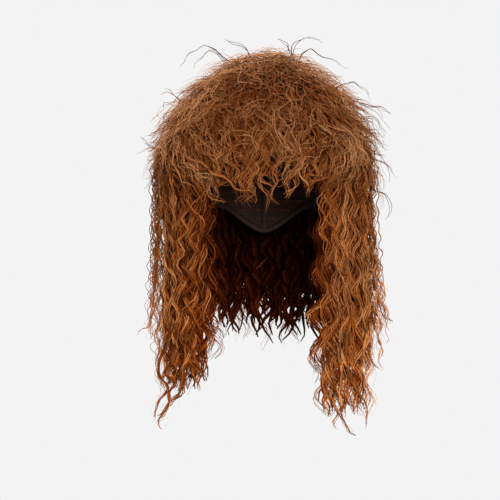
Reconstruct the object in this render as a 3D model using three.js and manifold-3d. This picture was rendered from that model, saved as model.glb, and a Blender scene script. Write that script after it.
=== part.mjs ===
// A long, crimped, shaggy wig: a hollow net cap with hair sewn to it in five parts.
// Millimetres, +Z up. The face looks along -Y, and +X is on the right of a front view.
// The origin is the middle of the head at brow level, where the cap grips the head.
import * as THREE from 'three';
import { mergeVertices } from 'three/addons/utils/BufferGeometryUtils.js';
import Module from 'manifold-3d';

const wasm = await Module();
wasm.setup();

// Driving dimensions
const head = { halfWidth: 76, halfLength: 96, crownHeight: 92, napeTuck: 190 };
const capSize = { clearance: 1, wall: 1.6, aroundSteps: 28, downSteps: 6 };
const hairGap = 0.6; // between the cap and the hair, and between the parts of the hair
const hairInside = capSize.clearance + capSize.wall + hairGap;
const thinnestHair = hairInside + 2;
const lockShape = { flatness: 0.5, rootShare: 0.6, tipShare: 0.1, fullest: 0.66 };
const degree = Math.PI / 180;
const quarterArc = (Math.PI / 2) * (head.halfWidth + head.halfLength + head.crownHeight) / 3;

// Where the cap ends: how far down from the crown, along the scalp, at each angle from the face
const capRim = [
  { angle: 0, drop: 88 }, // front hairline
  { angle: 45, drop: 98 }, // temple
  { angle: 75, drop: 146 }, // ear tab
  { angle: 98, drop: 130 }, // over the ear
  { angle: 130, drop: 166 }, // behind the ear
  { angle: 180, drop: 198 }, // nape
];

// Where the thick dome of the crown hair ends, measured as the cap's rim is measured
const crownEdge = [
  { angle: 0, drop: 64 },
  { angle: 50, drop: 84 },
  { angle: 90, drop: 110 },
  { angle: 180, drop: 116 },
];
// The dome is thinner over the face and at the back than at the sides.
const crownDome = {
  loftTop: 63,
  loftEdge: 64,
  frontShare: 0.62,
  backShare: 0.88,
  aroundSteps: 22,
  downSteps: 5,
};

// Rings of short locks on the dome, from the whorl down. Each lock runs from its root to its tip.
const crownRings = [
  { count: 5, from: 20, to: 308, rootDrop: 4, tipDrop: 62, rootLift: 58, tipLift: 73, width: 44 },
  { count: 9, from: 0, to: 320, rootDrop: 26, tipDrop: 98, rootLift: 58, tipLift: 73, width: 50 },
  { count: 12, from: 56, to: 304, rootDrop: 62, tipDrop: 126, rootLift: 59, tipLift: 68, width: 52 },
];
const crownWave = { height: 4, waves: 1.3, uneven: 9, rings: 3, sides: 4 };

// Fringe locks, from the left of a front view to the right
const fringeLocks = [
  { angle: -48, tipDrop: 170, width: 25 },
  { angle: -38, tipDrop: 160, width: 22 },
  { angle: -28, tipDrop: 167, width: 21 },
  { angle: -18, tipDrop: 157, width: 20 },
  { angle: -8, tipDrop: 168, width: 20 },
  { angle: 1, tipDrop: 153, width: 18 },
  { angle: 10, tipDrop: 166, width: 20 },
  { angle: 19, tipDrop: 158, width: 20 },
  { angle: 28, tipDrop: 169, width: 21 },
  { angle: 38, tipDrop: 159, width: 22 },
  { angle: 48, tipDrop: 172, width: 25 },
];
const fringeRoot = { topDrop: 64, endDrop: 92, from: 0, to: 51, loft: [28, 28], hemShare: 0.9, steps: 10 };
const fringeFall = {
  rootDrop: 68,
  rootLift: 15,
  bowDrop: 98,
  bowLift: 31,
  browDrop: 138,
  browLift: 22,
  tipLift: 14,
  tipTurn: 0.04,
};
const fringeWave = { height: 2.5, waves: 1.6, rings: 4, sides: 4 };

// Side locks: the angle of the root, how far the lock bulges from the head, and where its tip hangs
const rightLocks = [
  { angle: 54, bulge: 16, across: 64, depth: -78, height: -180, width: 26 },
  { angle: 60, bulge: 24, across: 70, depth: -84, height: -282, width: 27 },
  { angle: 66, bulge: 32, across: 87, depth: -86, height: -296, width: 30 },
  { angle: 72, bulge: 41, across: 109, depth: -86, height: -307, width: 31 },
  { angle: 79, bulge: 50, across: 124, depth: -78, height: -298, width: 30 },
  { angle: 87, bulge: 60, across: 133, depth: -54, height: -262, width: 30 },
  { angle: 96, bulge: 63, across: 146, depth: -18, height: -198, width: 32 },
  { angle: 106, bulge: 63, across: 146, depth: 18, height: -180, width: 34 },
  { angle: 117, bulge: 60, across: 126, depth: 54, height: -186, width: 34 },
];
const leftLocks = [
  { angle: 54, bulge: 16, across: 66, depth: -78, height: -180, width: 26 },
  { angle: 60, bulge: 24, across: 78, depth: -84, height: -238, width: 28 },
  { angle: 66, bulge: 32, across: 92, depth: -86, height: -252, width: 30 },
  { angle: 72, bulge: 41, across: 107, depth: -86, height: -284, width: 30 },
  { angle: 79, bulge: 50, across: 123, depth: -80, height: -303, width: 30 },
  { angle: 87, bulge: 60, across: 130, depth: -54, height: -250, width: 30 },
  { angle: 96, bulge: 63, across: 144, depth: -18, height: -200, width: 32 },
  { angle: 106, bulge: 63, across: 147, depth: 18, height: -192, width: 34 },
  { angle: 117, bulge: 60, across: 124, depth: 54, height: -184, width: 34 },
];
const sideRoot = { topDrop: 86, endDrop: 150, from: 52, to: 122, loft: [16, 60], hemShare: 0.3, steps: 6 };
const sideFall = {
  rootDrop: 98,
  rootShare: 0.7,
  shoulderDrop: 122,
  shoulderShare: 0.8,
  bulgeDrop: 172,
  waist: 0.5,
};
const sideWave = { height: 5, waves: 3, rings: 9, sides: 4 };

// Back locks: an under row from the nape and an upper row that lies over it
const backRows = [
  { count: 6, turn: 42, rootDrop: 150, rootLift: 14, bulge: 26, tipLift: 24, height: -214, width: 36 },
  { count: 8, turn: 54, rootDrop: 106, rootLift: 46, bulge: 56, tipLift: 48, height: -200, width: 36 },
];
const backRoot = { topDrop: 100, endDrop: 186, from: 125, to: 235, loft: [54, 54], hemShare: 0.35, steps: 7 };
const backFall = { waist: 0.5 };
const backWave = { height: 5, waves: 2.4, uneven: 13, rings: 7, sides: 4 };

// Colour and roughness of the net and of each part of the hair
const finishes = {
  cap: { color: 0x2a1710, roughness: 0.8 },
  crown_hair: { color: 0x784a2a, roughness: 0.6 },
  fringe: { color: 0x734120, roughness: 0.55 },
  side_hair_right: { color: 0x7d4a27, roughness: 0.55 },
  side_hair_left: { color: 0x6e3d1e, roughness: 0.55 },
  back_hair: { color: 0x5c3219, roughness: 0.55 },
};

// A point over the scalp: angle from the face, drop from the crown along the scalp, lift above it
function overHead(angle, drop, lift) {
  const polar = Math.min(drop / quarterArc, 1) * (Math.PI / 2);
  const below = Math.max(drop - quarterArc, 0);
  const around = Math.sin(polar) * (1 - (below / head.napeTuck) ** 2);
  return new THREE.Vector3(
    (head.halfWidth * around + lift * Math.sin(polar)) * Math.sin(angle),
    -(head.halfLength * around + lift * Math.sin(polar)) * Math.cos(angle),
    (head.crownHeight + lift) * Math.cos(polar) - below,
  );
}

// Reads a table of drops at an angle, with smooth steps between its rows, alike on both sides
function dropAt(table, angle) {
  const turned = Math.abs(Math.atan2(Math.sin(angle), Math.cos(angle))) / degree;
  const next = Math.max(1, table.findIndex((row) => row.angle >= turned - 1e-6));
  const [before, after] = [table[next - 1], table[next]];
  const share = THREE.MathUtils.smoothstep(turned, before.angle, after.angle);
  return THREE.MathUtils.lerp(before.drop, after.drop, share);
}

const rowStride = 20; // keeps the numbers of the locks in one row apart from those in the next

// A number from -1 to 1 that differs from lock to lock and is the same each time
const ragged = (index) => 2 * THREE.MathUtils.euclideanModulo(Math.sin(index * 12.9898) * 43758.5453, 1) - 1;

// Moves every vertex of a closed geometry and returns it as a solid
function solidFrom(geometry, place) {
  const position = geometry.getAttribute('position');
  const point = new THREE.Vector3();
  for (let i = 0; i < position.count; i++) {
    position.setXYZ(i, ...place(point.fromBufferAttribute(position, i)).toArray());
  }
  geometry.deleteAttribute('normal');
  geometry.deleteAttribute('uv');
  const merged = mergeVertices(geometry, 1e-3);
  const corners = merged.index.array;
  const triVerts = [];
  for (let i = 0; i < corners.length; i += 3) {
    const [a, b, c] = corners.slice(i, i + 3);
    if (a !== b && b !== c && c !== a) triVerts.push(a, b, c);
  }
  return new wasm.Manifold(new wasm.Mesh({
    numProp: 3,
    vertProperties: merged.getAttribute('position').array,
    triVerts: new Uint32Array(triVerts),
  }));
}

const fuse = (solids) => solids.reduce((whole, solid) => whole.add(solid));

// A shell over the whole scalp, down to the drop that its edge table gives, from lift inside to outsideAt
function shell(size, edge, inside, outsideAt, grow) {
  const shares = Array.from({ length: size.downSteps + 1 }, (_, i) => i / size.downSteps);
  const profile = [
    ...shares.map((share) => new THREE.Vector2(share, 0)),
    ...shares.reverse().map((share) => new THREE.Vector2(share, 1)),
  ];
  return solidFrom(new THREE.LatheGeometry(profile, size.aroundSteps), (v) => {
    const angle = Math.atan2(v.x, v.z);
    const share = Math.hypot(v.x, v.z);
    const lift = v.y > 0 ? outsideAt(share, angle) + grow : inside - grow;
    return overHead(angle, share * (dropAt(edge, angle) + grow), lift);
  });
}

// A bank of hair on the scalp, thinner at its hem, which the locks of one part are fused to
function bank(root, from, to, grow) {
  const slab = new THREE.BoxGeometry(1, 1, 1, root.steps, 2, 1);
  return solidFrom(slab, (v) => {
    const turn = THREE.MathUtils.lerp(from, to, 0.5 + v.x) * degree;
    const down = 0.5 - v.y;
    const round = THREE.MathUtils.inverseLerp(root.from, root.to, Math.abs(turn / degree));
    const topLoft = THREE.MathUtils.lerp(...root.loft, Math.sin((round * Math.PI) / 2));
    const loft = topLoft * THREE.MathUtils.lerp(1, root.hemShare, down);
    return overHead(
      turn + (2 * v.x * grow) / head.halfWidth,
      THREE.MathUtils.lerp(root.topDrop, root.endDrop, down) - 2 * v.y * grow,
      v.z > 0 ? Math.max(loft, thinnestHair) + grow : hairInside - grow,
    );
  });
}

// How wide a lock is from its root, at 0, to its tip, at 1
function fullness(t) {
  const { rootShare, tipShare, fullest } = lockShape;
  if (t < fullest) return THREE.MathUtils.lerp(rootShare, 1, t / fullest);
  return THREE.MathUtils.lerp(1, tipShare, (t - fullest) / (1 - fullest));
}

// A flat, tapering, waved lock along a curve. Its wave runs sideways and its flat side lies on the head.
// The index sets where its wave starts.
function lock(points, width, wave, index, grow) {
  const phase = Math.PI * ragged(index);
  const curve = new THREE.CatmullRomCurve3(points);
  const rod = new THREE.CylinderGeometry(1, 1, 1, wave.sides, wave.rings);
  return solidFrom(rod, (v) => {
    const t = 0.5 - v.y;
    const centre = curve.getPointAt(t);
    const along = curve.getTangentAt(t);
    const outward = new THREE.Vector3(centre.x, centre.y, Math.max(centre.z, 0)).normalize();
    const sideways = new THREE.Vector3().crossVectors(along, outward).normalize();
    const flatwise = new THREE.Vector3().crossVectors(along, sideways).normalize();
    const half = (width / 2) * fullness(t);
    const sway = wave.height * Math.sqrt(t) * Math.sin(2 * Math.PI * wave.waves * t + phase);
    return centre
      .addScaledVector(along, grow * (2 * t - 1))
      .addScaledVector(sideways, v.x * (half + grow) + sway)
      .addScaledVector(flatwise, v.z * (half * lockShape.flatness + grow));
  });
}

// What share of its loft the crown has at an angle from the face
function loftShare(angle) {
  const facing = Math.cos(angle);
  return THREE.MathUtils.lerp(1, facing > 0 ? crownDome.frontShare : crownDome.backShare, facing ** 2);
}

function crownLock(ring, angle, index, grow) {
  const tipDrop = ring.tipDrop + crownWave.uneven * ragged(index);
  const points = [0, 0.5, 1].map((t) => overHead(
    angle,
    THREE.MathUtils.lerp(ring.rootDrop, tipDrop, t),
    THREE.MathUtils.lerp(ring.rootLift, ring.tipLift, t) * loftShare(angle),
  ));
  return lock(points, ring.width, crownWave, index, grow);
}

function crownHair(grow = 0) {
  const { loftTop, loftEdge } = crownDome;
  const loftAt = (share, angle) => THREE.MathUtils.lerp(loftTop, loftEdge * loftShare(angle), share);
  const locks = crownRings.flatMap((ring, level) => Array.from({ length: ring.count }, (_, i) => {
    const angle = THREE.MathUtils.lerp(ring.from, ring.to, i / (ring.count - 1));
    return crownLock(ring, angle * degree, rowStride * level + i, grow);
  }));
  return fuse([shell(crownDome, crownEdge, hairInside, loftAt, grow), ...locks]);
}

function fringeHair(grow = 0) {
  const locks = fringeLocks.map((row, index) => {
    const angle = row.angle * degree;
    const points = [
      overHead(angle, fringeFall.rootDrop, fringeFall.rootLift),
      overHead(angle, fringeFall.bowDrop, fringeFall.bowLift),
      overHead(angle, fringeFall.browDrop, fringeFall.browLift),
      overHead(angle + fringeFall.tipTurn * ragged(index), row.tipDrop, fringeFall.tipLift),
    ];
    return lock(points, row.width, fringeWave, index, grow);
  });
  return fuse([bank(fringeRoot, -fringeRoot.to, fringeRoot.to, grow), ...locks]);
}

// side is 1 on the right of a front view and -1 on the left
function sideHair(rows, side, grow = 0) {
  const locks = rows.map((row, index) => {
    const angle = side * row.angle * degree;
    const bulge = overHead(angle, sideFall.bulgeDrop, row.bulge);
    const tip = new THREE.Vector3(side * row.across, row.depth, row.height);
    const points = [
      overHead(angle, sideFall.rootDrop, row.bulge * sideFall.rootShare),
      overHead(angle, sideFall.shoulderDrop, row.bulge * sideFall.shoulderShare),
      bulge,
      new THREE.Vector3().lerpVectors(bulge, tip, sideFall.waist),
      tip,
    ];
    return lock(points, row.width, sideWave, side * (index + 1), grow);
  });
  const [from, to] = side > 0 ? [sideRoot.from, sideRoot.to] : [-sideRoot.to, -sideRoot.from];
  return fuse([bank(sideRoot, from, to, grow), ...locks]);
}

function backHair(grow = 0) {
  const locks = backRows.flatMap((row, layer) => Array.from({ length: row.count }, (_, i) => {
    const angle = (180 + THREE.MathUtils.lerp(-row.turn, row.turn, i / (row.count - 1))) * degree;
    const index = rowStride * layer + i;
    const tip = overHead(angle, quarterArc, row.tipLift).setZ(row.height + backWave.uneven * ragged(index));
    const bulge = overHead(angle, quarterArc, row.bulge).setZ(-(row.rootDrop - quarterArc) - row.bulge);
    const points = [
      overHead(angle, row.rootDrop, row.rootLift),
      bulge,
      new THREE.Vector3().lerpVectors(bulge, tip, backFall.waist),
      tip,
    ];
    return lock(points, row.width, backWave, index, grow);
  }));
  return fuse([bank(backRoot, backRoot.from, backRoot.to, grow), ...locks]);
}

// Cuts the grown copies of a part's neighbours out of it, so that a gap is left, and keeps its main body
function clearOf(solid, ...grownNeighbours) {
  const cut = grownNeighbours.reduce((left, neighbour) => left.subtract(neighbour), solid);
  return cut.decompose().reduce((main, body) => (body.volume() > main.volume() ? body : main));
}

function meshFrom(name, solid) {
  const made = solid.getMesh();
  const geometry = new THREE.BufferGeometry();
  geometry.setAttribute('position', new THREE.BufferAttribute(made.vertProperties, 3));
  geometry.setIndex(new THREE.BufferAttribute(made.triVerts, 1));
  geometry.computeVertexNormals();
  const material = new THREE.MeshStandardMaterial({ ...finishes[name], metalness: 0 });
  const mesh = new THREE.Mesh(geometry, material);
  mesh.name = name;
  return mesh;
}

function netCap(grow = 0) {
  const { clearance, wall } = capSize;
  return shell(capSize, capRim, clearance, () => clearance + wall, grow);
}

const grownCap = netCap(hairGap);
const grownCrown = crownHair(hairGap);
const grownFringe = fringeHair(hairGap);
const grownRight = sideHair(rightLocks, 1, hairGap);
const grownLeft = sideHair(leftLocks, -1, hairGap);

const crown = clearOf(crownHair(), grownCap);
const fringe = clearOf(fringeHair(), grownCap, grownCrown);
const sideRight = clearOf(sideHair(rightLocks, 1), grownCap, grownCrown, grownFringe);
const sideLeft = clearOf(sideHair(leftLocks, -1), grownCap, grownCrown, grownFringe);
const back = clearOf(backHair(), grownCap, grownCrown, grownRight, grownLeft);

const wig = new THREE.Group();
wig.add(
  meshFrom('cap', netCap()),
  meshFrom('crown_hair', crown),
  meshFrom('fringe', fringe),
  meshFrom('side_hair_right', sideRight),
  meshFrom('side_hair_left', sideLeft),
  meshFrom('back_hair', back),
);

export default wig;
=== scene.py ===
import math

import bmesh
import bpy
import numpy as np
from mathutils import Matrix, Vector


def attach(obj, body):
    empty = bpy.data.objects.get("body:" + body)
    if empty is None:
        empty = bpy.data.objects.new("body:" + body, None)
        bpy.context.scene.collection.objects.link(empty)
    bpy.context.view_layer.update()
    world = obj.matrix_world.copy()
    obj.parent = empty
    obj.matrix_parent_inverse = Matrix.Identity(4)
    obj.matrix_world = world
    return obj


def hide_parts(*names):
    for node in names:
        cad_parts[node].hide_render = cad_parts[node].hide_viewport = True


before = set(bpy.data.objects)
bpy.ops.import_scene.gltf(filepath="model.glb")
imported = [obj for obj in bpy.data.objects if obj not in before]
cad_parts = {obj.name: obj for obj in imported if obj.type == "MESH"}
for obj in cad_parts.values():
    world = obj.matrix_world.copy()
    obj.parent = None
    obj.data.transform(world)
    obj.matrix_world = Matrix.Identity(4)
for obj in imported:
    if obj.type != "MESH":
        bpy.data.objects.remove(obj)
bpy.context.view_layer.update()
print("frame loaded:", sorted(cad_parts))

# camera: level with the middle of the tresses, straight in front
cameraSetup = {"distance": 1.8, "across": -0.019, "height": -0.083, "frameWidth": 0.625, "sensor": 36.0}


def addObject(name, data):
    made = bpy.data.objects.new(name, data)
    bpy.context.scene.collection.objects.link(made)
    return made


def makeCamera():
    data = bpy.data.cameras.new("camera")
    data.sensor_width = cameraSetup["sensor"]
    data.lens = cameraSetup["sensor"] * cameraSetup["distance"] / cameraSetup["frameWidth"]
    camera = addObject("camera", data)
    camera.location = (cameraSetup["across"], -cameraSetup["distance"], cameraSetup["height"])
    camera.rotation_euler = (math.pi / 2, 0, 0)
    bpy.context.scene.camera = camera
    print("camera set", cameraSetup["distance"], "m in front")


makeCamera()

# the head that the hair is laid out on, the same sizes as the solids
head = {"halfWidth": 0.076, "halfLength": 0.096, "crownHeight": 0.092, "napeTuck": 0.19}
quarterArc = math.pi / 2 * (head["halfWidth"] + head["halfLength"] + head["crownHeight"]) / 3
fullTurn = 2 * math.pi


def overHead(angle, drop, lift):
    # angle round from the front, drop from the crown along the scalp, lift above the scalp
    polar = np.minimum(drop / quarterArc, 1) * math.pi / 2
    below = np.maximum(drop - quarterArc, 0)
    around = np.sin(polar) * (1 - (below / head["napeTuck"]) ** 2)
    x = (head["halfWidth"] * around + lift * np.sin(polar)) * np.sin(angle)
    y = -(head["halfLength"] * around + lift * np.sin(polar)) * np.cos(angle)
    z = (head["crownHeight"] + lift) * np.cos(polar) - below
    return np.stack(np.broadcast_arrays(x, y, z), -1)


def unit(vectors):
    return vectors / np.maximum(np.linalg.norm(vectors, axis=-1, keepdims=True), 1e-9)


def between(pair, share):
    return pair[0] + (pair[1] - pair[0]) * share


def ramped(value, start, over):
    # 0 up to the start, then evenly up to 1
    return np.clip((value - start) / over, 0, 1)


curveSteps = 20   # samples between two points of a guide


def smoothCurves(controls, count):
    # smooth curves through rows of points, sampled evenly along their length
    step = np.maximum(np.linalg.norm(np.diff(controls, axis=1), axis=2), 1e-6)
    slope = np.diff(controls, axis=1) / step[..., None]
    inner = (slope[:, :-1] * step[:, 1:, None] + slope[:, 1:] * step[:, :-1, None])
    inner = inner / (step[:, 1:] + step[:, :-1])[..., None]
    slopes = np.concatenate([slope[:, :1], inner, slope[:, -1:]], 1)
    t = np.linspace(0, 1, curveSteps)[None, :, None]
    runs = []
    for i in range(controls.shape[1] - 1):
        gap = step[:, i, None, None]
        start, end = controls[:, i, None], controls[:, i + 1, None]
        leave, arrive = slopes[:, i, None] * gap, slopes[:, i + 1, None] * gap
        runs.append((2 * t**3 - 3 * t**2 + 1) * start + (t**3 - 2 * t**2 + t) * leave
                    + (3 * t**2 - 2 * t**3) * end + (t**3 - t**2) * arrive)
    dense = np.concatenate(runs, 1)
    walked = np.cumsum(np.linalg.norm(np.diff(dense, axis=1), axis=2), 1)
    walked = np.concatenate([np.zeros((len(dense), 1)), walked], 1)
    length = walked[:, -1]
    even = np.linspace(0, 1, count)
    points = np.empty((len(dense), count, 3))
    for i in range(len(dense)):
        for axis in range(3):
            points[i, :, axis] = np.interp(even * length[i], walked[i], dense[i, :, axis])
    return points, length


def sideAndFlat(points):
    # across a strand, sideways and away from the head
    along = unit(np.gradient(points, axis=1))
    outward = points.copy()
    outward[..., 2] = np.maximum(outward[..., 2], 0)
    side = unit(np.cross(along, unit(outward)) + 1e-4)
    return side, np.cross(side, along)


# what every kind of strand starts from, in metres, and pairs are least and most
strandDefaults = {
    "perLock": 6, "segment": 0.0072, "segmentStep": 4, "mostSegments": 72,
    "width": 0.00055, "thick": 0.0004, "widthVary": (0.7, 1.3),
    "taper": [0.8, 1.0, 0.95, 0.22], "taperAt": [0, 0.12, 0.6, 1],
    "cores": 0, "coreWidth": 0.0018, "coreThick": 0.0007,   # cores are the flat middle of a lock
    "coreNarrows": 0.7, "coreThins": 0.5, "coreSpread": 0.45, "coreCrimp": 0.4,
    "fullShare": 0.55, "nearlyWhole": 0.97, "shortest": 0.75, "ragged": 0.9,   # lengths
    "spread": [0.008, 0.0055, 0.002], "spreadAt": [0, 0.4, 1], "flatness": 0.6,   # bundling
    "strays": 0.12, "strayReach": 2.0, "loose": 0.4,   # strands that leave their lock
    "easeIn": 0.03, "wavePitch": (0.034, 0.05), "pitchVary": (0.985, 1.015),
    "waveHeight": (0.003, 0.006), "heightVary": (0.8, 1.2), "rootWave": 0.75, "waveGrowth": 0.4,
    "beat": 0.2, "beatLength": 0.021, "lift": 0.5, "coil": (0.9, 2.2), "phases": (0, 6.3),
    "drift": (0.002, 0.006), "driftLength": (0.022, 0.034),
    "crimpPitch": (0.018, 0.027), "crimpHeight": (0.0004, 0.0014), "crimpOut": 0.8, "crimpSkew": 0.87,
    "toneSpread": 0.09, "highlights": 0.11, "highlightStep": 0.18, "palest": 0.78,
}


def strandSpec(**changes):
    return {**strandDefaults, **changes}


def growStrands(controls, spec, rng, tone, waves=None):
    # one guide for each lock, and a bundle of waved strands round every guide
    if waves is None:
        waves = rng.uniform(0, fullTurn, len(controls)), rng.uniform(*spec["wavePitch"], len(controls))
    lengths = smoothCurves(controls, 2)[1]
    step = spec["segmentStep"]
    wanted = np.round(lengths / spec["segment"] / step) * step
    wanted = np.clip(wanted, step, spec["mostSegments"]).astype(int)
    batches = []
    for count in np.unique(wanted):
        chosen = np.flatnonzero(wanted == count)
        guides, length = smoothCurves(controls[chosen], count + 1)
        locks, total = len(chosen), len(chosen) * spec["perLock"]
        owner = np.repeat(np.arange(locks), spec["perLock"])
        t = np.linspace(0, 1, count + 1)[None]

        def each(low, high):
            return rng.uniform(low, high, total)[:, None]

        def shared(low, high):
            return rng.uniform(low, high, locks)[owner][:, None]

        # locks keep their length or are cut short, and each strand a little more
        whole = shared(0, 1) < spec["fullShare"]
        nearly = spec["nearlyWhole"]
        cut = np.where(whole, shared(nearly, 1), shared(spec["shortest"], nearly)) * each(spec["ragged"], 1)
        place = t * cut * count
        below = np.minimum(place.astype(int), count - 1)
        share = (place - below)[..., None]
        rows = np.arange(total)[:, None]
        path = guides[owner][rows, below] * (1 - share) + guides[owner][rows, below + 1] * share
        side, flat = sideAndFlat(path)
        run = t * cut * length[owner][:, None]

        # how far each strand lies from the middle of its lock
        core = (np.arange(total) % spec["perLock"] < spec["cores"])[:, None]
        stray = np.where((each(0, 1) < spec["strays"]) & ~core, spec["strayReach"], 1.0)
        turn = each(0, fullTurn)
        spread = np.interp(t[0], spec["spreadAt"], spec["spread"])[None] * np.sqrt(each(0, 1)) * stray
        spread = spread * np.where(core, spec["coreSpread"], 1)

        # waves that a lock shares, a fine crimp on each strand and a slow drift
        ease = np.clip(run / spec["easeIn"], 0, 1)
        phase, pitch = (values[chosen][owner][:, None] for values in waves)
        phase = phase + each(-1, 1) * spec["loose"]
        pitch = pitch * each(*spec["pitchVary"])
        wave = fullTurn * (run - guides[owner][:, :1, 2]) / pitch + phase   # counted from a common height
        swing = shared(*spec["waveHeight"]) * pitch / np.mean(spec["wavePitch"])   # longer ones swing wider
        beat = spec["beat"] * np.sin(run / spec["beatLength"] + phase)
        height = swing * each(*spec["heightVary"]) * (spec["rootWave"] + spec["waveGrowth"] * t + beat)
        crimp = fullTurn * run / each(*spec["crimpPitch"]) + each(*spec["phases"])
        crimpHeight = each(*spec["crimpHeight"]) * stray * np.where(core, spec["coreCrimp"], 1)
        drift = shared(*spec["drift"]) * np.sin(run / shared(*spec["driftLength"]) + shared(*spec["phases"]))
        sideways = height * np.sin(wave) + crimpHeight * np.sin(crimp) + drift
        coil = np.sign(shared(-1, 1)) * shared(*spec["coil"])
        crimpOut = spec["crimpOut"] * crimpHeight * np.sin(crimp * spec["crimpSkew"] + turn)
        outwards = spec["lift"] * height * np.sin(wave + coil) + crimpOut
        path = (path + side * (spread * np.cos(turn) + ease * sideways)[..., None]
                + flat * (spread * spec["flatness"] * np.sin(turn) + ease * outwards)[..., None])

        # thickness and tone
        taper = np.interp(t[0], spec["taperAt"], spec["taper"])[None] * each(*spec["widthVary"])
        strandTone = np.asarray(tone)[chosen][owner] + rng.normal(0, spec["toneSpread"], total)
        bright = (rng.random(total) < spec["highlights"]) & ~core[:, 0]
        strandTone = np.minimum(strandTone + spec["highlightStep"] * bright, spec["palest"])
        wide = taper * np.where(core, spec["coreWidth"] * (1 - spec["coreNarrows"] * t**4), spec["width"])
        deep = taper * np.where(core, spec["coreThick"] * (1 - spec["coreThins"] * t**4), spec["thick"])
        batches.append((path, wide, deep, strandTone))
    return batches


# UV map of the strands: u runs along each one, and v is the row of its tone
strandMap = {"rows": 64, "endMargin": 0.01, "rowMargin": 0.15, "endLean": 0.008}


def strandMesh(name, batches):
    # closed three sided tubes, joined into one mesh
    toneRows, margin, ends = strandMap["rows"], strandMap["rowMargin"], strandMap["endMargin"]
    vertices, faces, uvs = [], [], []
    base = 0
    for path, width, thick, tone in batches:
        total, rings = path.shape[:2]
        side, flat = sideAndFlat(path)
        turns = math.pi / 2 + np.arange(3) * 2 * math.pi / 3
        ring = (path[:, :, None]
                + side[:, :, None] * (np.cos(turns) * width[..., None])[..., None]
                + flat[:, :, None] * (np.sin(turns) * thick[..., None])[..., None])
        vertices.append(ring.reshape(-1, 3))
        index = base + np.arange(total * rings * 3).reshape(total, rings, 3)
        after = np.roll(index, -1, axis=2)
        quads = np.stack([index[:, :-1], index[:, 1:], after[:, 1:], after[:, :-1]], -1)
        faces += quads.reshape(-1, 4).tolist()
        row = np.clip(np.floor(tone * toneRows), 0, toneRows - 1)[:, None, None]
        u = (ends + (1 - 2 * ends) * np.arange(rings) / (rings - 1))[None, :, None]
        v = [(row + margin + (1 - 2 * margin) * (np.arange(3) + k) / 3) / toneRows for k in range(2)]
        u0, u1 = (np.broadcast_to(part, (total, rings - 1, 3)) for part in (u[:, :-1], u[:, 1:]))
        v0, v1 = (np.broadcast_to(part, (total, rings - 1, 3)) for part in v)
        uvs.append(np.stack([u0, v0, u1, v0, u1, v1, u0, v1], -1).reshape(-1, 2))
        # the two ends
        faces += index[:, 0].tolist() + index[:, -1, ::-1].tolist()
        corner = np.array([margin, 0.5, 1 - margin])
        for edge, lean in ((0.0, strandMap["endLean"]), (1.0, -strandMap["endLean"])):
            endU = np.broadcast_to(edge + np.array([0, lean, 0]), (total, 3))
            uvs.append(np.stack([endU, (row[:, 0] + corner) / toneRows], -1).reshape(-1, 2))
        base += total * rings * 3
    mesh = bpy.data.meshes.new(name)
    mesh.from_pydata(np.concatenate(vertices).tolist(), [], faces)
    layer = mesh.uv_layers.new(name="OFBake")
    layer.data.foreach_set("uv", np.concatenate(uvs).astype(np.float32).ravel())
    mesh.polygons.foreach_set("use_smooth", [True] * len(mesh.polygons))
    mesh.update()
    triangles = sum(len(p.vertices) - 2 for p in mesh.polygons)
    print(name, "strands:", sum(len(b[0]) for b in batches), "triangles:", triangles)
    return addObject(name, mesh)


def placePiece(piece, material, slotName, *nodes):
    piece.data.materials.append(material)
    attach(piece, "root")
    if nodes:
        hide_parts(*nodes)


# hair fibre: tone by strand, with painted shade darkening each strand towards its root and painted light
# brightening it towards the tip, and a paler, less saturated copy for the crown as painted light from above
hairLook = {
    "tones": [(0.0, (0.010, 0.0008, 0.0001)), (0.25, (0.054, 0.0074, 0.0005)),
              (0.5, (0.172, 0.038, 0.0048)), (0.75, (0.345, 0.136, 0.044)), (1.0, (0.58, 0.32, 0.165))],
    # painted shade near the root, painted light towards the tip
    "along": [(0.0, 0.42), (0.2, 0.60), (0.35, 0.69), (0.55, 0.80), (0.7, 1.0), (0.85, 1.5)],
    "roughness": (0.34, 0.54), "specular": 0.05,
}
# painted light: the crown's copy of the same fibre, paler as if lit from above
crownLitLook = {
    "tones": [(0.0, (0.011, 0.0011, 0.0001)), (0.25, (0.068, 0.0122, 0.0014)),
              (0.5, (0.182, 0.058, 0.0155)), (0.75, (0.34, 0.152, 0.062)), (1.0, (0.58, 0.34, 0.19))],
    # painted shade near the root, painted light towards the tip
    "along": [(0.0, 0.4), (0.3, 0.85), (0.7, 1.08), (1.0, 1.15)],
    "roughness": (0.36, 0.56), "specular": 0.035,
}
# light and dark bands along each strand, and finer streaks across the wide ones
fibreGrain = {
    "bandScale": (9, 150, 1), "bandDetail": 3.0, "bandFrom": (0.3, 0.7), "bandTo": (1.08, 1.92),
    "streakScale": (7, 1300, 1), "streakDetail": 2.0, "streakFrom": (0.32, 0.68), "streakTo": (0.55, 1.45),
    "sheenTint": (1.0, 0.70, 0.46, 1), "anisotropic": 0.5, "mostAlong": 1.5,
}


def newMaterial(name):
    material = bpy.data.materials.new(name)
    material.use_nodes = True
    return material, material.node_tree, material.node_tree.nodes["Principled BSDF"]


def rampNode(tree, source, stops):
    ramp = tree.nodes.new("ShaderNodeValToRGB")
    elements = ramp.color_ramp.elements
    while len(elements) < len(stops):
        elements.new(0.5)
    for element, (position, colour) in zip(elements, stops):
        element.position = position
        level = colour if isinstance(colour, tuple) else (colour,) * 3
        element.color = (*level, 1)
    tree.links.new(source, ramp.inputs[0])
    return ramp.outputs[0]


def stretchedNoise(tree, uv, scale, detail):
    stretch = tree.nodes.new("ShaderNodeMapping")
    stretch.inputs["Scale"].default_value = scale
    tree.links.new(uv, stretch.inputs[0])
    noise = tree.nodes.new("ShaderNodeTexNoise")
    noise.inputs["Scale"].default_value = 1.0
    noise.inputs["Detail"].default_value = detail
    tree.links.new(stretch.outputs[0], noise.inputs["Vector"])
    return noise.outputs[0]


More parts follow.
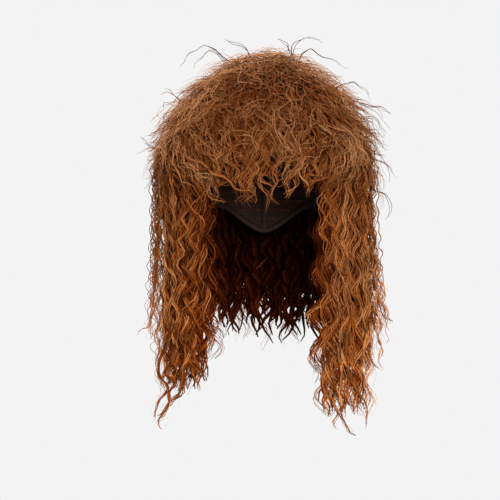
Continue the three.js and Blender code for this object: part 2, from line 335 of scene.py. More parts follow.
def mapRange(tree, source, fromRange, toRange):
    remap = tree.nodes.new("ShaderNodeMapRange")
    for label, (low, high) in (("From", fromRange), ("To", toRange)):
        remap.inputs[label + " Min"].default_value = low
        remap.inputs[label + " Max"].default_value = high
    tree.links.new(source, remap.inputs["Value"])
    return remap.outputs[0]


def scaledColour(tree, colour, factor):
    scaled = tree.nodes.new("ShaderNodeVectorMath")
    scaled.operation = "SCALE"
    tree.links.new(colour, scaled.inputs[0])
    tree.links.new(factor, scaled.inputs["Scale"])
    return scaled.outputs[0]


def hairMaterial(name, look):
    material, tree, shader = newMaterial(name)
    shader.inputs["Specular IOR Level"].default_value = look["specular"]
    shader.inputs["Specular Tint"].default_value = fibreGrain["sheenTint"]
    shader.inputs["Anisotropic"].default_value = fibreGrain["anisotropic"]
    uvMap = tree.nodes.new("ShaderNodeUVMap")
    uvMap.uv_map = "OFBake"
    uv = uvMap.outputs["UV"]
    split = tree.nodes.new("ShaderNodeSeparateXYZ")
    tree.links.new(uv, split.inputs[0])
    tones = rampNode(tree, split.outputs["Y"], look["tones"])
    # painted shade darkening each strand towards its root and painted light brightening it towards the tip
    shares = [(place, level / fibreGrain["mostAlong"]) for place, level in look["along"]]
    along = rampNode(tree, split.outputs["X"], shares)
    shade = tree.nodes.new("ShaderNodeMix")
    shade.data_type = "RGBA"
    shade.blend_type = "MULTIPLY"
    shade.inputs["Factor"].default_value = 1.0
    tree.links.new(tones, shade.inputs["A"])
    tree.links.new(along, shade.inputs["B"])
    noise = stretchedNoise(tree, uv, fibreGrain["bandScale"], fibreGrain["bandDetail"])
    band = mapRange(tree, noise, fibreGrain["bandFrom"], fibreGrain["bandTo"])
    banded = scaledColour(tree, shade.outputs["Result"], band)
    grain = stretchedNoise(tree, uv, fibreGrain["streakScale"], fibreGrain["streakDetail"])
    streak = mapRange(tree, grain, fibreGrain["streakFrom"], fibreGrain["streakTo"])
    tree.links.new(scaledColour(tree, banded, streak), shader.inputs["Base Color"])
    tree.links.new(mapRange(tree, noise, (0, 1), look["roughness"]), shader.inputs["Roughness"])
    return material


auburnFibre = hairMaterial("auburn_fibre", hairLook)
crownLitFibre = hairMaterial("crown_fibre_painted_light", crownLitLook)
print("fibre materials made")

# crown: layers of strands that radiate from a whorl and lift off the head towards their tips
crown = {
    "seed": 11, "guidePoints": 6, "behind": 0.7,   # behind is the share of roots kept at the back
    "whorlForward": 0.20, "whorlRight": 0.12, "whorlSize": 0.3, "whorlLift": 0.4,
    "frontShare": 0.46, "backShare": 0.88, "fullSide": (0.62, -0.1, 0.78), "fullLift": 0.002, "fullFade": 6,
    "browClear": 0.03, "browFrom": 0.35, "lowestTip": 1.48, "browLimit": 0.3, "unevenTips": 0.11,
    "reachRadius": 0.14, "leastReach": 0.25, "mostBend": 1.2, "liftCurve": 0.8,
    # painted shade: a darker band across the front of the dome; painted light: paler strands low on the dome
    "shadow": (-0.01, -0.66, 0.75), "shadowAcross": 0.5, "shadowFade": 10, "paintedLight": 0.10, "paintedLightHeight": 0.6,
    "locks": {
        "count": 445, "band": (0, 0.108), "length": (0.055, 0.1), "rootLift": (0.022, 0.044),
        "tipLift": (0.056, 0.075), "flare": (-0.002, 0.010), "lean": 0.62, "overlap": 0.5,
        "tone": 0.535, "highTone": 0.14, "toneVary": 0.11, "shade": 0.22,
        "spec": strandSpec(perLock=6, cores=1, coreWidth=0.00065, coreThick=0.0005, segment=0.0069,
                           width=0.0004, thick=0.00032, fullShare=0.6, shortest=0.68, ragged=0.8, strays=0.2,
                           loose=1.6, spread=[0.010, 0.011, 0.008], easeIn=0.016, wavePitch=(0.026, 0.046),
                           waveHeight=(0.0022, 0.0052), drift=(0.002, 0.009), crimpPitch=(0.02, 0.03),
                           crimpHeight=(0.0003, 0.001), toneSpread=0.09, highlights=0.1)},
    "tangle": {   # grown with the locks
        "count": 110, "band": (0, 0.056), "length": (0.05, 0.085), "rootLift": (0.040, 0.052),
        "tipLift": (0.058, 0.074), "flare": (0, 0.006), "lean": 0.8, "overlap": 1.2},
    "frizz": {
        "count": 820, "band": (0, 0.106), "length": (0.05, 0.09), "rootLift": (0.034, 0.05),
        "tipLift": (0.058, 0.077), "flare": (0, 0.010), "lean": 0.8, "overlap": 0.5,
        "tone": 0.48, "highTone": 0.12, "toneVary": 0, "shade": 0.16,
        "spec": strandSpec(perLock=1, segment=0.0062, width=0.00037, thick=0.0003, shortest=0.6, ragged=0.8,
                           spread=[0.004, 0.004, 0.004], easeIn=0.012, wavePitch=(0.028, 0.048),
                           waveHeight=(0.0024, 0.0056), crimpPitch=(0.018, 0.028),
                           crimpHeight=(0.0004, 0.0012), toneSpread=0.08, highlights=0.06)},
    "skirt": {
        "count": 120, "band": (0.05, 0.108, 0.3), "length": (0.055, 0.095), "rootLift": (0.02, 0.034),
        "tipLift": (0.060, 0.072), "flare": (0.004, 0.022), "lean": 0.35, "overlap": 0.5,
        "tone": 0.46, "highTone": 0, "toneVary": 0.1, "shade": None,
        "spec": strandSpec(perLock=5, cores=1, coreWidth=0.0011, coreThick=0.0006, segment=0.0064,
                           width=0.0004, thick=0.00032, fullShare=0.6, shortest=0.7, ragged=0.8, strays=0.15,
                           loose=0.5, spread=[0.007, 0.004, 0.0016], easeIn=0.02, wavePitch=(0.03, 0.048),
                           waveHeight=(0.002, 0.0045), drift=(0.001, 0.006))},
    # under: wide dark ribbons below the locks, their darkness painted shade in the gaps between strands
    "under": {
        "count": 780, "band": (0, 0.112), "length": (0.06, 0.10), "rootLift": (0.034, 0.05),
        "tipLift": (0.043, 0.061), "flare": (0, 0.002), "lean": 0.5, "overlap": 1.2,
        "tone": 0.27, "highTone": 0.07, "toneVary": 0, "shade": 0.08,
        "spec": strandSpec(perLock=1, segment=0.0095, width=0.003, thick=0.001, taper=[0.8, 1.0, 0.85, 0.25],
                           fullShare=1, spread=[0.002, 0.002, 0.002], strays=0, waveHeight=(0.002, 0.005),
                           crimpPitch=(0.03, 0.04), crimpHeight=(0.0003, 0.0008), drift=(0, 0.002),
                           toneSpread=0.04, highlights=0)},
    "flyaways": {
        "count": 60, "band": (0.0, 0.1), "length": (0.06, 0.11), "rootLift": (0.05, 0.06),
        "tipLift": (0.064, 0.072), "flare": (0.008, 0.03), "lean": 1.0, "overlap": 0.5,
        "tone": 0.38, "highTone": 0, "toneVary": 0, "shade": None,
        "spec": strandSpec(perLock=1, segment=0.005, width=0.0006, thick=0.00046, taper=[0.9, 1.0, 0.8, 0.4],
                           fullShare=0.7, shortest=0.6, strays=0, spread=[0.002, 0.002, 0.002], easeIn=0.02,
                           wavePitch=(0.034, 0.07), waveHeight=(0.0024, 0.0056), drift=(0.003, 0.01),
                           toneSpread=0.12, highlights=0)},
}


def crownPoints(direction, lift):
    # a point over the dome in a direction from its middle, fuller at one side
    share = np.where(direction[..., 1] < 0, crown["frontShare"], crown["backShare"])
    towards = np.clip(direction @ unit(np.array(crown["fullSide"])), 0, 1)
    lift = lift + crown["fullLift"] * towards ** crown["fullFade"]
    loft = lift * (1 - (1 - share) * direction[..., 1] ** 2)
    return np.stack([direction[..., 0] * (head["halfWidth"] + loft),
                     direction[..., 1] * (head["halfLength"] + loft),
                     direction[..., 2] * (head["crownHeight"] + lift)], -1)


def crownRoots(count, rng, highest, lowest, foremost=1):
    # directions spread evenly over a band of the dome, leaving the brow to the fringe
    kept = []
    while len(kept) < count:
        x, y, z = unit(rng.normal(size=3))
        drop = math.acos(max(-1, min(1, z))) / (math.pi / 2) * quarterArc
        facing = -y / max(math.hypot(x, y), 1e-6)
        limit = lowest - crown["browClear"] * max(0, (facing - crown["browFrom"]) / (1 - crown["browFrom"]))
        thinned = y > 0 and rng.random() > crown["behind"]
        if z > 0 and highest <= drop < limit and facing < foremost and not thinned:
            kept.append((x, y, z))
    return np.array(kept)


def crownGuides(layer, rng):
    count = layer["count"]
    whorl = unit(np.array([crown["whorlRight"], -crown["whorlForward"], 1.0]))
    roots = crownRoots(count, rng, *layer["band"])
    start = np.arccos(np.clip(roots @ whorl, -1, 1))[:, None]
    crossing = layer["overlap"] * rng.random((count, 1)) * np.exp(-start / crown["whorlSize"])
    start = start - crossing   # some cross the whorl
    away = unit(roots - (roots @ whorl)[:, None] * whorl)
    across = np.cross(whorl, away)
    t = np.linspace(0, 1, crown["guidePoints"])[None]
    reach = rng.uniform(*layer["length"], count)[:, None] / crown["reachRadius"]
    lean = rng.normal(0, layer["lean"], count)
    bend = np.clip(lean, -crown["mostBend"], crown["mostBend"])[:, None] * t
    uneven = rng.normal(0, crown["unevenTips"], count)[:, None]
    furthest = crown["lowestTip"] + crown["browLimit"] * away[:, 1:2] + uneven
    angle = (start + np.clip(furthest - start, crown["leastReach"], reach) * t)[..., None]
    outward = away[:, None] * np.cos(bend)[..., None] + across[:, None] * np.sin(bend)[..., None]
    direction = np.cos(angle) * whorl + np.sin(angle) * outward
    depth = rng.random((count, 1))
    low = between(layer["rootLift"], depth)
    top = between(layer["tipLift"], depth)
    settled = np.clip(np.abs(start) / crown["whorlSize"], crown["whorlLift"], 1)   # the whorl lies flat
    low = top - (top - low) * settled
    flare = rng.uniform(*layer["flare"], count)[:, None] * settled
    heights = low + (top - low) * t ** crown["liftCurve"] + flare * t**2
    return crownPoints(direction, heights), depth[:, 0]


def crownShade(guides, strength):
    # painted shade as a darker band across the front of the dome, and painted light as paler ends low down
    place = unit(guides.mean(1))
    facing = unit(place * (crown["shadowAcross"], 1, 1)) @ unit(np.array(crown["shadow"]))
    low = np.clip(1 - place[:, 2] / crown["paintedLightHeight"], 0, 1)
    return strength * np.clip(facing, 0, 1) ** crown["shadowFade"] - crown["paintedLight"] * low


def crownTone(layer, guides, depth, rng):
    # higher strands paler and deeper ones darker as painted shade under the top layer, then the painted shade
    # band and painted light from crownShade
    tone = layer["tone"] + layer["highTone"] * depth
    if layer["toneVary"]:
        tone = tone + rng.normal(0, layer["toneVary"], len(depth))
    if layer["shade"]:
        tone = tone - crownShade(guides, layer["shade"])
    return tone


# single wisps that curl off the crown and fuller flicks at one side, as points in metres
wisps = {
    "curls": [
        [(-0.044, -0.02, 0.148), (-0.076, -0.03, 0.166), (-0.090, -0.03, 0.158), (-0.104, -0.02, 0.141)],
        [(-0.050, 0.00, 0.152), (-0.068, -0.01, 0.164), (-0.079, -0.01, 0.156), (-0.090, 0.00, 0.142)],
        [(-0.016, -0.01, 0.152), (-0.026, -0.02, 0.168), (-0.040, -0.02, 0.174), (-0.050, -0.03, 0.176)],
        [(0.036, -0.02, 0.150), (0.029, -0.03, 0.162), (0.021, -0.04, 0.172), (0.010, -0.04, 0.176)],
        [(0.032, -0.01, 0.152), (0.036, -0.02, 0.172), (0.051, -0.03, 0.177), (0.066, -0.03, 0.175),
         (0.073, -0.03, 0.167)],
        [(0.040, -0.02, 0.150), (0.052, -0.04, 0.164), (0.070, -0.05, 0.154), (0.095, -0.05, 0.143),
         (0.113, -0.05, 0.131)],
        [(0.082, -0.03, 0.114), (0.103, -0.04, 0.122), (0.119, -0.05, 0.113), (0.131, -0.05, 0.097)],
        [(0.115, -0.02, 0.098), (0.136, -0.03, 0.092), (0.151, -0.03, 0.086), (0.158, -0.03, 0.070)],
        [(0.120, 0.00, 0.083), (0.137, -0.01, 0.080), (0.146, -0.02, 0.061), (0.153, -0.02, 0.047)],
        [(-0.103, -0.03, 0.100), (-0.119, -0.04, 0.112), (-0.133, -0.04, 0.104)],
        [(-0.122, -0.02, 0.040), (-0.146, -0.03, 0.047), (-0.158, -0.03, 0.051)],
        [(0.126, -0.02, 0.004), (0.133, -0.02, -0.010), (0.147, -0.02, -0.014), (0.153, -0.02, -0.030),
         (0.148, -0.02, -0.048), (0.139, -0.02, -0.062)],
        [(0.124, -0.01, -0.020), (0.136, -0.01, -0.028), (0.142, -0.01, -0.042), (0.137, -0.01, -0.054),
         (0.130, -0.01, -0.050)],
        [(0.020, -0.08, 0.140), (0.030, -0.11, 0.128), (0.022, -0.125, 0.108), (0.034, -0.13, 0.092)]],
    "flicks": [
        [(-0.106, -0.02, 0.072), (-0.124, -0.03, 0.067), (-0.136, -0.03, 0.060), (-0.145, -0.03, 0.055)],
        [(-0.108, -0.03, 0.056), (-0.126, -0.04, 0.050), (-0.138, -0.04, 0.041), (-0.147, -0.04, 0.037)],
        [(-0.110, -0.02, 0.046), (-0.128, -0.03, 0.040), (-0.139, -0.03, 0.031), (-0.149, -0.03, 0.027)],
        [(-0.108, -0.03, 0.036), (-0.126, -0.04, 0.026), (-0.136, -0.04, 0.012), (-0.146, -0.04, 0.002)]],
    "curlTone": 0.24, "flickTone": 0.5,
    "curlSpec": strandSpec(perLock=2, segment=0.004, width=0.0007, thick=0.0005, taper=[0.9, 1.0, 0.8, 0.4],
                           fullShare=1, ragged=0.7, strays=0, loose=1.5, spread=[0.002, 0.003, 0.005],
                           wavePitch=(0.018, 0.034), waveHeight=(0.001, 0.0022), drift=(0, 0.003),
                           crimpHeight=(0.0002, 0.0007), highlights=0),
    "flickSpec": strandSpec(perLock=6, segment=0.005, cores=1, coreWidth=0.0011, coreThick=0.0006,
                            width=0.0005, thick=0.0004, taper=[0.7, 1.0, 0.9, 0.3], fullShare=1, ragged=0.75,
                            loose=0.9, spread=[0.009, 0.008, 0.004], wavePitch=(0.024, 0.034),
                            waveHeight=(0.001, 0.0024), drift=(0, 0.003)),
}


def makeCrown():
    rng = np.random.default_rng(crown["seed"])
    locks = crown["locks"]
    guides, depth = crownGuides(locks, rng)
    tangled, tangledDepth = crownGuides(crown["tangle"], rng)
    guides, depth = np.concatenate([guides, tangled]), np.concatenate([depth, tangledDepth])
    tone = crownTone(locks, guides, depth, rng)
    high = guides[:, 0, 2] > np.median(guides[:, 0, 2])   # two meshes, so that neither is too large
    upper = growStrands(guides[high], locks["spec"], rng, tone[high])
    lower = growStrands(guides[~high], locks["spec"], rng, tone[~high])
    loose = []
    for layer in (crown[name] for name in ("frizz", "skirt", "under", "flyaways")):
        guides, depth = crownGuides(layer, rng)
        loose += growStrands(guides, layer["spec"], rng, crownTone(layer, guides, depth, rng))
    for curl in wisps["curls"]:
        loose += growStrands(np.array([curl]), wisps["curlSpec"], rng, [wisps["curlTone"]])
    for flick in wisps["flicks"]:
        loose += growStrands(np.array([flick]), wisps["flickSpec"], rng, [wisps["flickTone"]])
    for name, batches in (("top", upper), ("skirt", lower), ("frizz", loose)):
        placePiece(strandMesh("crown_hair_" + name, batches), crownLitFibre, "hair", "crown_hair")


makeCrown()

# fringe: thin separate curly locks over the brow
fringe = {
    "seed": 23, "locks": 74, "turn": 1.06, "spacing": (0.1, 0.9),
    "rootFan": 0.92, "rootDrop": (0.058, 0.092), "rootLift": (0.024, 0.034),
    "bowFan": 0.97, "bowDrop": 0.1, "bowLift": (0.028, 0.038), "browDrop": 0.138, "browLift": (0.019, 0.027),
    "tipDrop": (0.136, 0.182), "tipLift": (0.010, 0.022), "sway": 0.12, "mostSway": 0.15,
    "tone": 0.57, "toneVary": 0.06,
    "lockSpec": strandSpec(perLock=5, cores=1, coreWidth=0.0009, segment=0.0055, width=0.00044, thick=0.00034,
                           fullShare=0.5, shortest=0.72, ragged=0.82, strays=0.2, loose=0.5,
                           spread=[0.006, 0.004, 0.0022], wavePitch=(0.026, 0.042),
                           waveHeight=(0.0026, 0.006), drift=(0.002, 0.008), toneSpread=0.1, highlights=0.1),
}


def makeFringe():
    rng = np.random.default_rng(fringe["seed"])
    count = fringe["locks"]
    place = (np.arange(count) + rng.uniform(*fringe["spacing"], count)) / count
    angle = place * 2 * fringe["turn"] - fringe["turn"]

    def pick(name):
        return rng.uniform(*fringe[name], count)

    def sway():
        return np.clip(rng.normal(0, fringe["sway"], count), -fringe["mostSway"], fringe["mostSway"])

    guides = np.stack([
        overHead(angle * fringe["rootFan"], pick("rootDrop"), pick("rootLift")),
        overHead(angle * fringe["bowFan"], np.full(count, fringe["bowDrop"]), pick("bowLift")),
        overHead(angle + sway() / 2, np.full(count, fringe["browDrop"]), pick("browLift")),
        overHead(angle + sway(), pick("tipDrop"), pick("tipLift")),
    ], 1)
    tone = rng.normal(fringe["tone"], fringe["toneVary"], count)
    locks = growStrands(guides, fringe["lockSpec"], rng, tone)
    placePiece(strandMesh("fringe_hair", locks), auburnFibre, "hair", "fringe")


makeFringe()

# side tresses: each row gives a root angle in degrees, the bulge from the head, and where the tip hangs
side = {
    "right": {
        "piece": "tress_right", "node": "side_hair_right", "hand": 1, "seed": 31,
        # painted shade darkens this tress a little, and painted light brightens its outer rows strongly, as
        # the lamps fall from the right
        "blunt": -0.284, "paintedSideShade": -0.01, "paintedLight": 0.13,
        "rows": [(54, 0.016, 0.064, -0.078, -0.180), (60, 0.024, 0.070, -0.084, -0.282),
                 (66, 0.032, 0.087, -0.086, -0.296), (72, 0.041, 0.109, -0.086, -0.307),
                 (79, 0.050, 0.124, -0.078, -0.298), (87, 0.058, 0.138, -0.054, -0.236),
                 (96, 0.060, 0.156, -0.018, -0.192), (106, 0.060, 0.156, 0.018, -0.180),
                 (117, 0.058, 0.130, 0.054, -0.186)],
        "tails": [
            [(0.078, -0.080, -0.190), (0.082, -0.085, -0.244), (0.094, -0.087, -0.262),
             (0.090, -0.087, -0.278), (0.096, -0.086, -0.294), (0.111, -0.085, -0.307)],
            [(0.096, -0.073, -0.180), (0.102, -0.082, -0.238), (0.112, -0.085, -0.256),
             (0.120, -0.084, -0.271), (0.120, -0.083, -0.285), (0.119, -0.082, -0.299)],
            [(0.084, -0.076, -0.195), (0.088, -0.082, -0.250), (0.081, -0.084, -0.264),
             (0.086, -0.084, -0.278), (0.081, -0.083, -0.290), (0.086, -0.083, -0.297)],
            [(0.080, -0.072, -0.180), (0.076, -0.078, -0.230), (0.068, -0.080, -0.246),
             (0.071, -0.080, -0.258), (0.069, -0.080, -0.270), (0.070, -0.080, -0.283)],
            [(0.118, -0.044, -0.130), (0.124, -0.057, -0.190), (0.124, -0.061, -0.208),
             (0.129, -0.064, -0.220), (0.141, -0.066, -0.228)],
            [(0.108, -0.020, 0.040), (0.124, -0.024, -0.020), (0.132, -0.030, -0.110),
             (0.140, -0.034, -0.150), (0.146, -0.036, -0.166), (0.157, -0.037, -0.170),
             (0.152, -0.037, -0.178)]]},
    "left": {
        "piece": "tress_left", "node": "side_hair_left", "hand": -1, "seed": 37,
        # painted shade darkens this tress more than the right one, and painted light brightens its outer rows
        # only a little
        "blunt": -0.256, "paintedSideShade": -0.085, "paintedLight": 0.05,
        "rows": [(54, 0.016, 0.066, -0.078, -0.180), (60, 0.024, 0.078, -0.084, -0.238),
                 (66, 0.032, 0.092, -0.086, -0.252), (72, 0.041, 0.107, -0.086, -0.284),
                 (79, 0.050, 0.123, -0.080, -0.303), (87, 0.060, 0.130, -0.054, -0.250),
                 (96, 0.063, 0.144, -0.018, -0.200), (106, 0.063, 0.147, 0.018, -0.192),
                 (117, 0.060, 0.124, 0.054, -0.184)],
        "tails": [
            [(-0.104, -0.074, -0.170), (-0.112, -0.084, -0.212), (-0.118, -0.088, -0.230),
             (-0.108, -0.089, -0.243), (-0.116, -0.089, -0.256), (-0.116, -0.088, -0.270),
             (-0.129, -0.087, -0.286), (-0.123, -0.086, -0.300)],
            [(-0.112, -0.070, -0.170), (-0.126, -0.080, -0.214), (-0.129, -0.084, -0.229),
             (-0.117, -0.086, -0.246), (-0.122, -0.086, -0.257), (-0.133, -0.086, -0.277),
             (-0.128, -0.085, -0.289)],
            [(-0.094, -0.076, -0.180), (-0.098, -0.085, -0.226), (-0.101, -0.088, -0.240),
             (-0.102, -0.089, -0.253), (-0.116, -0.089, -0.263), (-0.120, -0.088, -0.274),
             (-0.133, -0.087, -0.283)],
            [(-0.088, -0.078, -0.170), (-0.092, -0.084, -0.215), (-0.083, -0.086, -0.236),
             (-0.079, -0.086, -0.252)],
            [(-0.108, -0.020, 0.040), (-0.126, -0.024, -0.020), (-0.136, -0.030, -0.120),
             (-0.140, -0.034, -0.160), (-0.143, -0.036, -0.176), (-0.154, -0.038, -0.182),
             (-0.160, -0.038, -0.192)]]},
    # where the locks start and bulge, and how the inner ones differ
    "rootDrop": 0.092, "rootShare": 0.82, "shoulder": 0.03, "shoulderShare": 0.95, "bulgeDrop": 0.172,
    "innerBulge": 0.5, "clear": 0.001, "innerDrop": 0.04, "innerTips": 0.14,
    # tips gather at these places, counted in rows from the front
    "tresses": [0.4, 1.5, 2.3, 3.1, 4.1, 5.2, 6.4, 7.6], "gather": 0.45,
    # neighbours wave together, in long waves at the front and short ones behind
    "nest": 0.45, "walkSteps": 48, "walkMargin": 0.5, "phaseVary": 0.35,
    "pitchAt": [0.8, 3, 5, 7], "pitch": [0.05, 0.044, 0.036, 0.03], "pitchVary": (0.96, 1.04),
    # counts, layers and tones: the inner layers, the front rows and the wide strands underneath are darker as
    # painted shade, and the outer rows and the outermost tip locks paler as painted light
    "locks": 50, "layerBias": 0.7, "layerAt": [0, 1.2, 4.2, 6], "layerMost": [0.5, 1, 0.82, 0.16],
    "tone": 0.41, "outerTone": 0.2, "toneVary": 0.11, "darkShare": 0.22, "darkStep": 0.18,
    "paintedLightFrom": 2.5, "paintedLightOver": 2.5, "frontShade": 0.22,
    "tips": 2, "tipsVary": 0.12, "tipsLayer": (0.85, 1.04), "tipsHighlight": 0.03,
    "under": 94, "underFirst": 1.3, "underShort": 0.5, "underLayer": (0.0, 0.45),
    "underTone": 0.32, "underPale": 0.12, "underPaleFrom": 4, "underPaleOver": 2.5,
    "lace": 22, "laceFirst": 4.5, "laceLayer": (0.45, 1.25), "laceTone": 0.52,
    "frizz": 30, "frizzFirst": 0.6, "frizzLayer": (0.9, 1.15), "frizzTone": (0.4, 0.8),
    "tailTone": 0.46,
    "lockSpec": strandSpec(perLock=7, segment=0.006, cores=2, coreWidth=0.0012, coreThick=0.0007,
                           width=0.00056, thick=0.00046, taper=[0.8, 1, 1, 0.55], fullShare=0.65,
                           shortest=0.89, ragged=0.96, spread=[0.008, 0.0045, 0.003], easeIn=0.045,
                           wavePitch=(0.026, 0.054), waveHeight=(0.0046, 0.0082), drift=(0.002, 0.008),
                           toneSpread=0.08, highlights=0.08),
    "tipSpec": strandSpec(perLock=6, segment=0.006, cores=2, coreWidth=0.0014, coreThick=0.0007,
                          width=0.00056, thick=0.00046, taper=[0.8, 1, 1, 0.45], fullShare=1, ragged=0.95,
                          loose=0.25, spread=[0.008, 0.0042, 0.0016], easeIn=0.045, wavePitch=(0.042, 0.058),
                          waveHeight=(0.0056, 0.0084)),
    "tailSpec": strandSpec(perLock=7, segment=0.005, cores=2, coreWidth=0.0017, coreThick=0.0009,
                           width=0.0007, thick=0.0005, taper=[0.6, 1, 1, 0.4], fullShare=1, ragged=0.92,
                           strays=0.25, loose=0.9, spread=[0.010, 0.0032, 0.0012], wavePitch=(0.024, 0.034),
                           waveHeight=(0.0006, 0.0016), drift=(0, 0.001)),
    "underSpec": strandSpec(perLock=1, segment=0.0105, width=0.0042, thick=0.0014,
                            taper=[0.9, 1.0, 1.0, 0.25], fullShare=0.5, shortest=0.9, ragged=0.95, strays=0,
                            spread=[0.003, 0.003, 0.002], easeIn=0.05, wavePitch=(0.04, 0.055),
                            crimpHeight=(0.0003, 0.0008), toneSpread=0.04, highlights=0),
    "laceSpec": strandSpec(perLock=1, segment=0.0056, width=0.00092, thick=0.0007, taper=[0.9, 1.0, 0.9, 0.4],
                           fullShare=0.4, shortest=0.5, strays=0.1, loose=0.5,
                           spread=[0.003, 0.0022, 0.0016], easeIn=0.04, wavePitch=(0.018, 0.03),
                           waveHeight=(0.002, 0.0044), lift=1, drift=(0.002, 0.006), highlights=0),
    "frizzSpec": strandSpec(perLock=1, width=0.00045, thick=0.00036, shortest=0.5,
                            spread=[0.004, 0.005, 0.006], easeIn=0.04, wavePitch=(0.028, 0.044),
                            waveHeight=(0.003, 0.007), drift=(0.003, 0.01)),
}

# shorter layers that hang from under the crown over the tresses and the back: a lift and tipOut go from
# front to side, and other pairs are least and most
layers = {
    "turn": (0.72, 2.05), "sideOver": 0.78, "furthest": 1.05,
    "rootFan": 0.94, "rootDrop": (0.07, 0.09), "rootLift": (0.030, 0.042),
    "bowDrop": (0.105, 0.12), "bowLift": (0.036, 0.060), "lowDrop": (0.155, 0.175), "lowLift": (0.026, 0.060),
    "tips": (-0.15, -0.075), "tipOut": (0.012, 0.002), "tipForward": -0.006,
    "sideLocks": 25, "sideClosest": 0.5, "sideTone": 0.48, "sideVary": 0.08,
    "paleFrom": 1.2, "paleOver": 0.6, "paleStep": 0.1,
    "backLocks": 24, "backClosest": 0.95, "backTone": 0.5, "backVary": 0.1,
    "lockSpec": strandSpec(perLock=4, segment=0.0062, cores=1, coreWidth=0.0013, width=0.00052, thick=0.0004,
                           fullShare=0.6, ragged=0.85, strays=0.2, loose=0.5, spread=[0.008, 0.006, 0.002],
                           wavePitch=(0.026, 0.044), waveHeight=(0.0034, 0.0062), drift=(0.001, 0.006)),
}


def sideGuides(tress, place, layer, lowest=-1):
    columns = np.array(tress["rows"]).T
    rowNumbers = np.arange(len(tress["rows"]))
    angle, bulge = (np.interp(place, rowNumbers, column) for column in columns[:2])
    # tips gather towards the middle of the nearest tress
    centres = np.array(side["tresses"])
    nearest = centres[np.abs(place[:, None] - centres).argmin(1)]
    gathered = place + (nearest - place) * side["gather"]
    across, depth, height = (np.interp(gathered, rowNumbers, column) for column in columns[2:])
    angle = tress["hand"] * np.radians(angle)
    bulge = bulge * (side["innerBulge"] + (1 - side["innerBulge"]) * layer) + side["clear"]
    rootDrop = side["rootDrop"] + side["innerDrop"] * np.clip(1 - layer, 0, 1)
    root = overHead(angle, rootDrop, bulge * side["rootShare"])
    shoulder = overHead(angle, rootDrop + side["shoulder"], bulge * side["shoulderShare"])
    full = overHead(angle, np.full(len(place), side["bulgeDrop"]), bulge)
    inward = 1 - side["innerTips"] * (1 - layer)
    tip = np.stack([tress["hand"] * across * inward, depth * inward, np.maximum(height, lowest)], -1)
    return np.stack([root, shoulder, full, (full + tip) / 2, tip], 1)


def layerGuides(turn, hand, rng, closest):
    # locks from under the crown's edge that hang over the top of the longer hair
    count = len(turn)
    share = ramped(turn, layers["turn"][0], layers["sideOver"])
    angle = hand * turn

    def pick(name):
        return rng.uniform(*layers[name], count)

    low = overHead(angle, pick("lowDrop"),
                   between(layers["lowLift"], share * rng.uniform(closest, layers["furthest"], count)))
    out = hand * between(layers["tipOut"], share)
    tip = low * (1, 1, 0) + np.stack([out, np.full(count, layers["tipForward"]), pick("tips")], -1)
    root = overHead(angle * layers["rootFan"], pick("rootDrop"), between(layers["rootLift"], share))
    bow = overHead(angle, pick("bowDrop"), between(layers["bowLift"], share))
    return np.stack([root, bow, low, tip], 1)


